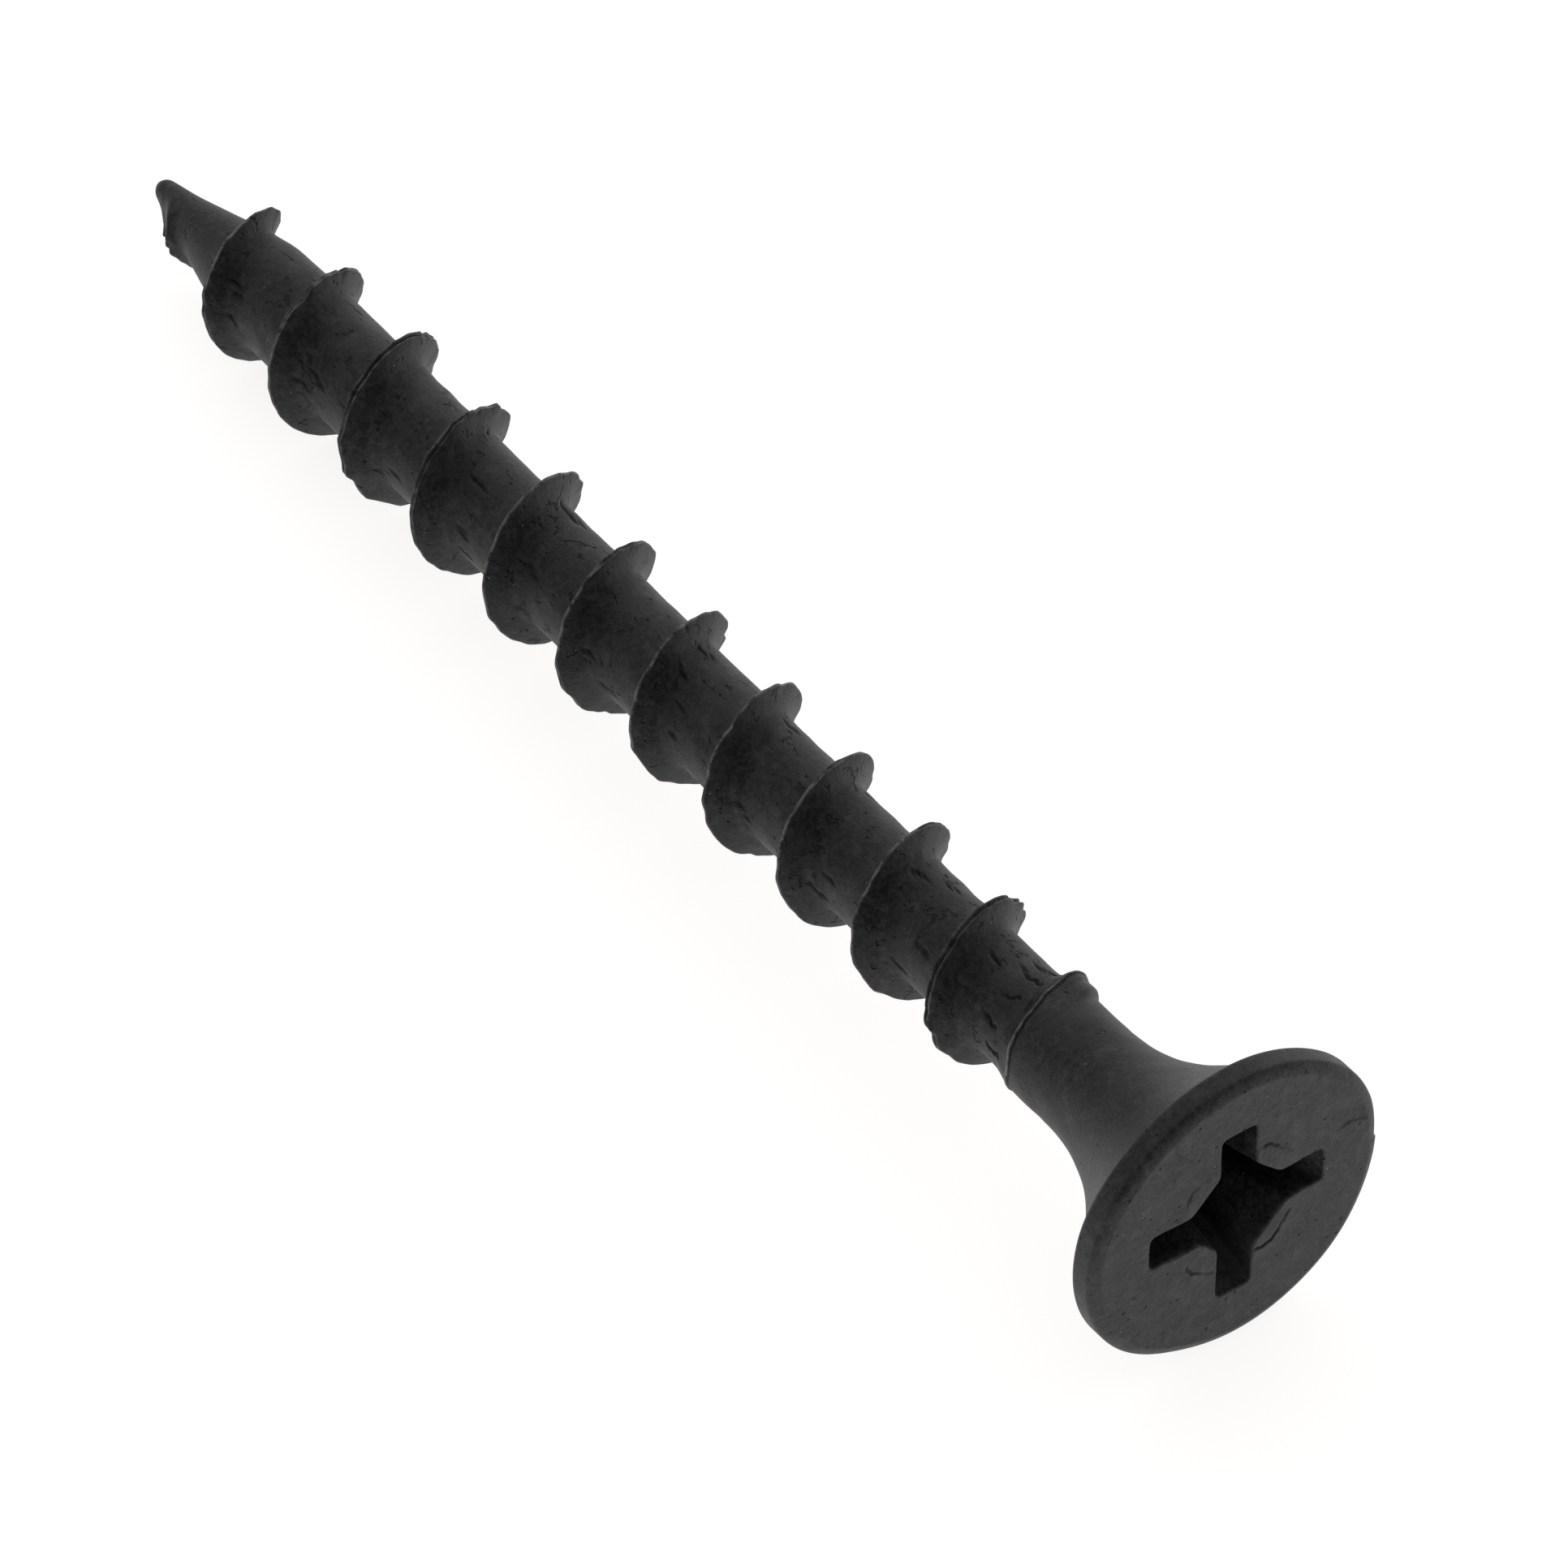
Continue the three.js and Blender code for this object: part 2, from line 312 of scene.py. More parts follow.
def thread_surface(station, angle):
    """The radius of the rolled length, and how near each point is to the crest and to a crack:
    the greater of the core with its rise to the shank and the core with its ridge, less what
    the crest has lost, its lapped groove and the fissures, plus the run-out, the step's lip and
    a ragged nib at the point. The step's lip also counts with the crest, to be painted pale as a
    painted highlight, and the foot of the step counts with the cracks, to be painted dark as
    painted shade."""
    distance = from_crest(station, angle)
    crest = station - distance
    lap = lap_share(crest)
    share = ridge_share(distance, lap)
    height = ridge_height(crest)
    grown = np.minimum(height / 0.5, 1)
    loss = crest_loss(crest, angle) * grown
    weave = 0.02 * wander(crest, 0.7, 41) * lap
    gape = LAP_WIDTH * (1 + 0.4 * smooth_step(crest, 29.8, 30.8))
    groove = lap * bell(distance - weave, gape)
    core = core_radius(station)
    uneven = CORE_UNEVENNESS * smooth_step(station, 2.5, 5)
    core = core + uneven * ripple(station, angle, 0.7, CORE_RADIUS, 42)
    from_step = station - step_station(angle)
    rise = STEP_RISE + STEP_LONG_RISE * bell(turned(angle, STEP_LONG_RISE_ANGLE), 1.0)
    blank = core + (SHANK_RADIUS - CORE_RADIUS) * smooth_step(from_step, -rise, 0.02)
    ragged = 1 + 0.25 * np.sin(24 * station) + 0.15 * np.sin(41 * station)
    nib = NIB_HEIGHT * ragged * bell(station - NIB_STATION, 0.4) * bell(turned(angle, NIB_ANGLE), 0.4)
    torn = fissures(station, angle) * (1 - smooth_step(share, 0.04, 0.16)) * (from_step < -0.1)
    ridge = core + height * share - loss * share**4 - LAP_DEPTH * groove * grown
    radius = np.maximum(blank, ridge) + nib + run_out(station, angle) - FISSURE_DEPTH * torn
    step_lip = bell(from_step + 0.03, 0.065)
    # The foot of the step is cut as a small groove and is also painted dark through the crack value:
    # painted shade in the corner.
    step_foot_groove_and_shade = bell(from_step - 0.055, 0.022)
    radius = radius + STEP_LIP_HEIGHT * step_lip - STEP_CRACK_DEPTH * step_foot_groove_and_shade
    # The step's lip goes in with the crests, so it is painted pale: a painted highlight.
    edge = np.maximum(share * smooth_step(height, 0.1, 0.4), np.minimum(2 * step_lip, 1))
    crack = np.maximum(groove * smooth_step(height, 0.2, 0.4), np.maximum(0.6 * step_foot_groove_and_shade, torn))
    return radius, edge, crack


FLARE_START = LENGTH - 5.57
FLARE_POWER = 2.2
RIM_HEIGHT = 0.79
RIM_UNDER_ROUND = 0.17


def head_surface(station, angle):
    """The radius of the bugle flare: it opens from the shank into the rim as a power of the share
    of its length, with a faint seeded unevenness."""
    share = np.clip((station - FLARE_START) / (LENGTH - RIM_HEIGHT - FLARE_START), 0, 1)
    widest = HEAD_RADIUS - RIM_UNDER_ROUND - SHANK_RADIUS
    radius = SHANK_RADIUS + widest * share**FLARE_POWER
    return radius + 0.005 * ripple(station, angle, 1.1, 2.0, 43)


RIM_OVERSIZE = 0.06
RIM_WAVES = [(2, 0.6, 0.012), (5, 0, 0.01), (9, 2, 0.006)]  # waves to a turn, phase and height
RIM_SWELLS = [(303, 0.62, 0.09), (244, 0.32, -0.1)]  # angle in degrees, width, and height
NOTCH_ANGLE = np.radians(357)
NOTCH_DEPTH = 0.05


def rim_radius(angle):
    """The outline of the head: a circle with three waves and two swells from the striking, one
    of them a flattened stretch, less a notch with one steep side."""
    wave = sum(height * np.sin(count * angle + phase) for count, phase, height in RIM_WAVES)
    swell = sum(
        height * bell(turned(angle, np.radians(at)), width) for at, width, height in RIM_SWELLS
    )
    notch = NOTCH_DEPTH * stretch(turned(angle, NOTCH_ANGLE), -0.01, 0.01, 0.03, 0.35)
    return HEAD_RADIUS + RIM_OVERSIZE + wave + swell - notch


RIM_TOP_ROUND = 0.22
RIM_TOP_INSET = 0.3
RIM_TOP_ARC = np.radians(44)


def rim_profile():
    """The rim from its underside to the face, as stations and insets: a quarter circle, the upright
    band, and part of an ellipse that meets the face at a crisp edge."""
    under = np.linspace(0, np.pi / 2, 6)
    top = np.linspace(0, RIM_TOP_ARC, 8)
    start = LENGTH - RIM_HEIGHT
    band = np.linspace(start + RIM_UNDER_ROUND, LENGTH - RIM_TOP_ROUND, 6)[1:-1]
    stations = np.concatenate(
        [
            start + RIM_UNDER_ROUND * (1 - np.cos(under)),
            band,
            LENGTH - RIM_TOP_ROUND * (1 - np.sin(top) / np.sin(RIM_TOP_ARC)),
        ]
    )
    inset = np.concatenate(
        [
            RIM_UNDER_ROUND * (1 - np.sin(under)),
            np.zeros(len(band)),
            RIM_TOP_INSET * (1 - np.cos(top)) / (1 - np.cos(RIM_TOP_ARC)),
        ]
    )
    return stations, inset


AROUND = 152  # points in a ring of the thread and shank
HEAD_AROUND = 2 * AROUND  # in a ring of the rim, the face and the recess
RECESS_ROUNDING = 0.11


def cross_outline(reaches, width, bevels):
    """The outline of the cross as complex numbers y + iz: four wings and four bevelled inner
    corners, evenly spaced along the line from the middle of the +Y wing's end, then rounded by
    damping its finest Fourier waves."""
    corners = []
    half = width / 2
    for quarter, (reach, bevel) in enumerate(zip(reaches, bevels)):
        points = [(reach, -half), (reach, half), (bevel, half), (half, bevel)]
        corners += [complex(*point) * 1j**quarter for point in points]
    path = np.array([reaches[0]] + corners[1:] + [corners[0], reaches[0]])
    reached = np.concatenate([[0], np.cumsum(np.abs(np.diff(path)))])
    places = np.linspace(0, reached[-1], HEAD_AROUND, endpoint=False)
    line = np.interp(places, reached, path.real) + 1j * np.interp(places, reached, path.imag)
    waves = np.fft.fftfreq(HEAD_AROUND, reached[-1] / HEAD_AROUND) * 2 * np.pi
    return np.fft.ifft(np.fft.fft(line) * np.exp(-((waves * RECESS_ROUNDING) ** 2) / 2))


def outward(line):
    """The unit normals of a closed line of complex numbers that runs anticlockwise."""
    along = np.roll(line, -1) - np.roll(line, 1)
    return -1j * along / np.abs(along)


PAD_HEIGHT = 0.022
CRACKS = [  # centre and half length in degrees, radius, strength, and which end is the bolder
    (49, 20, 1.93, 0.7, 1),
    (127, 17, 1.92, 0.35, 1),
    (230, 22, 1.72, 0.8, -1),
    (311, 25, 1.8, 1.2, -1),
]
CRACK_WIDTH = 0.036
CRACK_DEPTH = 0.06
FOLDS = [  # angle in degrees at the rim, radius at which each starts, and how far it leans
    (10, 2.9, 0.12),
    (196, 2.9, 0.0),
    (118, 2.7, 0.0),
]
FOLD_DEPTH = 0.022
FOLD_LINE_WIDTH = 0.014


def face_relief(places):
    """How far the face stands proud at each point, and how near each is to a crack. The struck
    metal round the recess is a low pad, with wriggling arcs of crack round it. Each fold is a
    small step down with a fine line along it, and seeded waves make the face uneven."""
    radius = np.abs(places)
    angle = np.angle(places)
    pad = PAD_HEIGHT * (1 - smooth_step(radius, 1.65, 2.1))
    arcs = np.zeros(places.shape)
    for centre, half, at, strength, bolder in CRACKS:
        aside = np.degrees(turned(angle, np.radians(centre)))
        wriggle = 0.04 * np.sin(aside * 0.2 + centre) + 0.015 * np.sin(aside * 0.7)
        bent = at + wriggle - 0.0002 * aside**2
        span = 1 - smooth_step(np.abs(aside), half * 0.7, half)
        span = span * (0.4 + 0.6 * smooth_step(bolder * aside, -0.3 * half, 0.3 * half))
        arcs = np.maximum(arcs, strength * span * bell(radius - bent, CRACK_WIDTH))
    arcs = np.minimum(arcs, 1)
    crack = arcs
    fold = np.zeros(places.shape)
    for centre, start, lean in FOLDS:
        past = turned(angle, np.radians(centre)) + lean * (radius - HEAD_RADIUS)
        past = past + 0.02 * np.sin(5 * radius)
        grown = smooth_step(radius, start, start + 0.4)
        fold = fold + FOLD_DEPTH * stretch(past, -0.008, 0.008, 0.05, 0.4) * grown
        crack = np.maximum(crack, 0.45 * bell(past, FOLD_LINE_WIDTH) * grown)
    waves = ripple(places.real, 0, 1.3, 1, 51) * ripple(places.imag, 0, 1.1, 1, 52)
    fine = ripple(places.real, 0, 0.5, 1, 53) * ripple(places.imag, 0, 0.45, 1, 54)
    return pad - fold + 0.006 * waves + 0.003 * fine - CRACK_DEPTH * arcs, crack


class Skin:
    """The screw's surface as it grows: points with their edge and crack values, and triangles."""

    def __init__(self):
        self.points = []
        self.values = []
        self.triangles = []
        self.count = 0

    def add(self, x, across, edge, crack):
        """Adds points at x with y + iz across, as arrays of one shape, and returns their
        indices in that shape."""
        shape = np.broadcast_shapes(np.shape(x), np.shape(across))
        x = np.broadcast_to(x, shape).ravel()
        across = np.broadcast_to(across, shape).ravel()
        self.points.append(np.stack([x, across.real, across.imag], axis=1))
        values = [np.broadcast_to(value, shape).ravel() for value in (edge, crack)]
        self.values.append(np.stack(values, axis=1))
        indices = np.arange(self.count, self.count + x.size).reshape(shape)
        self.count += x.size
        return indices

    def quads(self, a, b, c, d):
        """Adds each four-sided face as two triangles, without those that have no area."""
        both = np.concatenate([np.stack([a, b, c], -1), np.stack([a, c, d], -1)]).reshape(-1, 3)
        first, second, third = both.T
        kept = (first != second) & (second != third) & (first != third)
        self.triangles.append(both[kept])

    def rings(self, rows):
        """Joins each closed ring of indices to the next. A ring with twice the points of the one
        before takes two of its steps for each of theirs."""
        for before, after in zip(rows[:-1], rows[1:]):
            beside = np.roll(before, -1)
            if len(after) == len(before):
                self.quads(before, beside, np.roll(after, -1), after)
                continue
            left, middle, right = after[0::2], after[1::2], np.roll(after[0::2], -1)
            self.quads(before, before, middle, left)
            self.quads(before, beside, right, middle)


BOW = 0.075  # how far the middle of a rolled screw bends off the line of its ends
BOW_ANGLE = np.radians(210)
HEAD_SET = 0.02 + 0.045j  # how far the head was struck off the wire's axis, along +Y and +Z
NOSE_BEND = 0.07
NOSE_BEND_ANGLE = np.radians(45)
NOSE_BEND_LENGTH = 1.3


def bowed(station, across):
    """Where a point lies once the screw is bent: a parabola in the share of its length to the
    power 1.5, a smooth step aside at the head, and another at the nose."""
    share = (station / LENGTH) ** 1.5
    bow = BOW * 4 * share * (1 - share) * np.exp(1j * BOW_ANGLE)
    bow = bow + HEAD_SET * smooth_step(station, FLARE_START, LENGTH - RIM_HEIGHT)
    nose = NOSE_BEND * (1 - smooth_step(station, 0, NOSE_BEND_LENGTH))
    return station - LENGTH, across + bow + nose * np.exp(1j * NOSE_BEND_ANGLE)


def grid_of(stations, around):
    """The stations as a grid, with one row for each and as many columns as points around."""
    return np.broadcast_to(stations[:, None], (len(stations), around))


skin = Skin()
ring_angles = np.arange(AROUND) * 2 * np.pi / AROUND

# The nose, from a pole to the first ring of the thread's grid.
ROLLED_FROM = 0.42
ROLLED_TO = LENGTH - 7.75
nose_stations = ROLLED_FROM * (1 - np.cos(np.linspace(0, np.pi / 2, 12)[1:]))
nose_grid = grid_of(nose_stations, AROUND)
nose_radius, nose_edge, nose_crack = thread_surface(nose_grid, ring_angles)
pole = skin.add(*bowed(np.zeros(1), np.zeros(1, complex)), 0, 0)
nose_across = nose_radius * np.exp(1j * ring_angles)
nose = skin.add(*bowed(nose_grid, nose_across), nose_edge, nose_crack)
skin.rings([np.broadcast_to(pole, AROUND)] + list(nose))

# The thread: rows that follow the helix, close together at the crest, so that it stays sharp.
near_crest = [0, 0.018, 0.038, 0.058, 0.08, 0.11, 0.16]
down_flank = [0.22, 0.27, 0.33, 0.43, 0.58, 0.77, 0.98, 1.2]
half_row = np.array(near_crest + down_flank)
row_offsets = np.concatenate([[-PITCH / 2], -half_row[:0:-1], half_row])
turn_shift = CREST_ANGLE / (2 * np.pi)
first_step = int(np.floor(AROUND * (ROLLED_FROM / PITCH + turn_shift - 0.5)))
last_step = int(np.ceil(AROUND * (ROLLED_TO / PITCH + turn_shift + 0.5)))
steps = np.arange(first_step, last_step + AROUND + 1)
stations = PITCH * (steps[:, None] / AROUND - turn_shift) + row_offsets
angles = np.broadcast_to(2 * np.pi * (steps % AROUND)[:, None] / AROUND, stations.shape)
inside = (stations > ROLLED_FROM) & (stations < ROLLED_TO)
radius, edge, crack = thread_surface(stations[inside], angles[inside])
across = radius * np.exp(1j * angles[inside])

# The run-out, the end of rolling and the plain shank, as rings.
PLAIN_FROM = LENGTH - 6.2
fine_stretch = np.linspace(ROLLED_TO, PLAIN_FROM, 52)
plain_stretch = np.linspace(PLAIN_FROM, FLARE_START, 6)[1:]
run_out_grid = grid_of(np.concatenate([fine_stretch, plain_stretch]), AROUND)
# Its crack values hold the painted shade at the foot of the step, and its edge values hold the
# painted highlight on the step's lip.
run_out_radius, run_out_edge, run_out_crack_and_shade = thread_surface(run_out_grid, ring_angles)
run_out_across = run_out_radius * np.exp(1j * ring_angles)
shank = skin.add(*bowed(run_out_grid, run_out_across), run_out_edge, run_out_crack_and_shade)

# Where a row of the thread's grid runs past either end of the rolled length, its points are those
# of the nose's last ring or of the run-out's first.
before_grid = nose[-1][steps % AROUND][:, None]
after_grid = shank[0][steps % AROUND][:, None]
indices = np.where(stations <= ROLLED_FROM, before_grid, after_grid)
indices[inside] = skin.add(*bowed(stations[inside], across), edge, crack)
closed = np.concatenate([indices[:-AROUND], indices[AROUND:, :1]], axis=1)
skin.quads(closed[:-1, :-1], closed[1:, :-1], closed[1:, 1:], closed[:-1, 1:])

# The flare, with twice as many points round it from half way.
flare_stations = FLARE_START + (LENGTH - RIM_HEIGHT - FLARE_START) * np.linspace(0, 1, 30)[1:-1]
COARSE_RINGS = 18
head_angles = np.arange(HEAD_AROUND) * 2 * np.pi / HEAD_AROUND
coarse_grid = grid_of(flare_stations[:COARSE_RINGS], AROUND)
coarse_across = head_surface(coarse_grid, ring_angles) * np.exp(1j * ring_angles)
coarse = skin.add(*bowed(coarse_grid, coarse_across), 0, 0)
fine_grid = grid_of(flare_stations[COARSE_RINGS:], HEAD_AROUND)
fine_across = head_surface(fine_grid, head_angles) * np.exp(1j * head_angles)
fine = skin.add(*bowed(fine_grid, fine_across), 0, 0)

# The rim, with its upper edge worn.
rim_stations, rim_inset = rim_profile()
rim_line = rim_radius(head_angles) - rim_inset[:, None]
rim_wear = smooth_step(rim_stations, LENGTH - RIM_TOP_ROUND, LENGTH - 0.4 * RIM_TOP_ROUND)
rim_wear = rim_wear * (1 - smooth_step(rim_stations, LENGTH - 0.02, LENGTH))
rim_across = rim_line * np.exp(1j * head_angles)
rim_grid = grid_of(rim_stations, HEAD_AROUND)
rim = skin.add(*bowed(rim_grid, rim_across), 0.5 * rim_wear[:, None], 0)

# The face, from the rim's inner edge to the rounded edge of the recess, with most of its rings
# near the recess, where the cracks are.
WING_REACHES = [2.49, 2.49, 2.49, 2.62]  # of the wings towards +Y, +Z, -Y and -Z
RECESS_WING_WIDTH = 1.0
BEVELS = [1.22, 1.3, 1.05, 1.42]  # where each inner corner starts, from +Y+Z round to +Y-Z
RECESS_TURN = -0.03
RECESS_OFFSET = 0.03 + 0.1j  # the punch struck slightly off centre, along +Y and +Z
LIP_ROUND = 0.07
FIRST_RING = 0.006  # how far in the first ring is, as a share of the way to the recess
recess_turned = np.exp(1j * RECESS_TURN)
outline = cross_outline(WING_REACHES, RECESS_WING_WIDTH, BEVELS) * recess_turned + RECESS_OFFSET
lip_outline = outline + LIP_ROUND * outward(outline)
outer_rings = np.linspace(0, 0.25, 5)[1:]
middle_rings = np.linspace(0.25, 0.74, 9)[1:]
inner_rings = np.linspace(0.74, 1, 21)[1:]
inwards = np.concatenate([[FIRST_RING], outer_rings, middle_rings, inner_rings])
face_across = rim_across[-1] + (lip_outline - rim_across[-1]) * inwards[:, None]
relief, face_crack = face_relief(face_across)
settled = smooth_step(inwards, FIRST_RING, 0.06)[:, None]
face = skin.add(*bowed(LENGTH + relief * settled, face_across), 0, face_crack)

# The recess: its rounded edge, walls that draw in with depth, and a shallow cone at the bottom.
RECESS_DEPTH = 2.6
RECESS_BOTTOM_REACH = 1.18
RECESS_BOTTOM_WIDTH = 0.72
RECESS_BOTTOM_BEVEL = 0.6
RECESS_CONE_DEPTH = 0.35
lip_turn = np.linspace(0, np.pi / 2, 6)[1:, None]
lip_relief, _ = face_relief(lip_outline)
lip_across = outline + LIP_ROUND * (1 - np.sin(lip_turn)) * outward(outline)
lip_station = LENGTH + lip_relief * np.cos(lip_turn) - LIP_ROUND * (1 - np.cos(lip_turn))
uneven_wear = 0.8 + 0.25 * wander(np.angle(outline), 0.15, 62)
lip_wear = np.sin(2 * lip_turn) * np.clip(uneven_wear, 0, 1)
lip = skin.add(*bowed(lip_station, lip_across), lip_wear, 0)
bottom_line = cross_outline(
    [RECESS_BOTTOM_REACH] * 4, RECESS_BOTTOM_WIDTH, [RECESS_BOTTOM_BEVEL] * 4
)
bottom_line = bottom_line * recess_turned + RECESS_OFFSET
depth_share = (np.linspace(0, 1, 20)[1:] ** 1.15)[:, None]
wall_across = outline + (bottom_line - outline) * depth_share
wall_station = LENGTH - LIP_ROUND - (RECESS_DEPTH - LIP_ROUND) * depth_share
wall_wobble = 1 + 0.008 * ripple(wall_station, head_angles, 0.9, 2.0, 61)
wall_across = RECESS_OFFSET + (wall_across - RECESS_OFFSET) * wall_wobble
wall = skin.add(*bowed(wall_station, wall_across), 0, 0)
floor_share = np.array([0.75, 0.5, 0.25])[:, None]
floor_across = RECESS_OFFSET + (wall_across[-1] - RECESS_OFFSET) * floor_share
floor_station = LENGTH - RECESS_DEPTH - RECESS_CONE_DEPTH * (1 - floor_share)
cone = skin.add(*bowed(floor_station, floor_across), 0, 0)
deepest = LENGTH - RECESS_DEPTH - RECESS_CONE_DEPTH
tip = skin.add(*bowed(np.full(1, deepest), np.full(1, RECESS_OFFSET)), 0, 0)
skin.rings(list(shank) + list(coarse) + list(fine))
skin.rings([fine[-1]] + list(rim) + list(face) + list(lip) + list(wall) + list(cone))
skin.rings([cone[-1], np.broadcast_to(tip, HEAD_AROUND)])


def mesh_object(name, points, triangles):
    """A smooth-shaded mesh object at the origin, from points in millimetres and triangles."""
    mesh = bpy.data.meshes.new(name)
    mesh.vertices.add(len(points))
    mesh.vertices.foreach_set("co", (points * MM).ravel())
    mesh.loops.add(triangles.size)
    mesh.loops.foreach_set("vertex_index", triangles.ravel())
    mesh.polygons.add(len(triangles))
    mesh.polygons.foreach_set("loop_start", np.arange(0, triangles.size, 3))
    mesh.polygons.foreach_set("use_smooth", np.ones(len(triangles), bool))
    mesh.update()
    mesh.validate()
    made = bpy.data.objects.new(name, mesh)
    bpy.context.scene.collection.objects.link(made)
    return made


points = np.concatenate(skin.points)
triangles = np.concatenate(skin.triangles)
screw = mesh_object("struck_screw", points, triangles)
# The crack values also hold the painted shade at the foot of the step, and the edge values hold the
# painted highlight on the step's lip.
for column, label in enumerate(("edge", "crack")):
    attribute = screw.data.attributes.new(label, "FLOAT", "POINT")
    attribute.data.foreach_set("value", np.concatenate(skin.values)[:, column])


class Signal:
    """One output socket of a node. Arithmetic on it adds Math nodes, and node() adds any other."""

    def __init__(self, tree, socket=None):
        self.tree = tree
        self.socket = socket

    def node(self, kind, settings=None, inputs=None, output=0):
        """Adds a node of that kind, gives it its settings, fills its sockets with values or links,
        and returns one of its outputs, unless output is None."""
        node = self.tree.nodes.new(kind)
        for name, value in (settings or {}).items():
            setattr(node, name, value)
        for name, value in (inputs or {}).items():
            if isinstance(value, Signal):
                self.tree.links.new(value.socket, node.inputs[name])
            else:
                node.inputs[name].default_value = value
        return None if output is None else Signal(self.tree, node.outputs[output])

    def math(self, operation, first, second=0.0, clamp=False):
        """Arithmetic on numbers."""
        settings = {"operation": operation, "use_clamp": clamp}
        return self.node("ShaderNodeMath", settings, {0: first, 1: second})

    def __add__(self, other):
        return self.math("ADD", self, other)

    __radd__ = __add__

    def __sub__(self, other):
        return self.math("SUBTRACT", self, other)

    def __rsub__(self, other):
        return self.math("SUBTRACT", other, self)

    def __mul__(self, other):
        return self.math("MULTIPLY", self, other)

    __rmul__ = __mul__

    def above(self, start, end):
        """0 where this is up to start, 1 from end on, and a smooth rise between."""
        settings = {"interpolation_type": "SMOOTHSTEP"}
        inputs = {"Value": self, "From Min": start, "From Max": end}
        return self.node("ShaderNodeMapRange", settings, inputs)

    def vector(self, operation, inputs, output=0):
        """Arithmetic on vectors. Output 1 is a dot product."""
        return self.node("ShaderNodeVectorMath", {"operation": operation}, inputs, output)

    def noise(self, place, per_mm, detail=2.0, roughness=0.5, output=0):
        """Noise from 0 to 1, with per_mm features to the millimetre. Output 1 is three such."""
        inputs = {"Vector": place, "Scale": per_mm, "Detail": detail, "Roughness": roughness}
        return self.node("ShaderNodeTexNoise", None, inputs, output)

    def blend(self, share, first, second):
        """A colour that goes from first to second as share goes from 0 to 1."""
        inputs = {0: share, 6: first, 7: second}
        return self.node("ShaderNodeMix", {"data_type": "RGBA"}, inputs, output=2)


ROLLING_END = (-7.4, -7.2)  # from the face, headwards: where the fine fissures fade out
STRUCK_FACE = (-0.3, -0.1)  # and where the patchy look of the struck face fades in
BLACK = (0.001, 0.001, 0.0012, 1)
DARK_GREY = (0.021, 0.021, 0.0215, 1)
BLOOM_GREY = (0.028, 0.0275, 0.028, 1)
PATCH_GREY = (0.03, 0.03, 0.031, 1)
SCUFF_GREY = (0.05, 0.0495, 0.049, 1)
WORN_STEEL_AND_HIGHLIGHT = (0.16, 0.158, 0.156, 1)
CRACK_AND_SHADE_BLACK = (0.002, 0.002, 0.002, 1)
DUST = (0.3, 0.29, 0.28, 1)


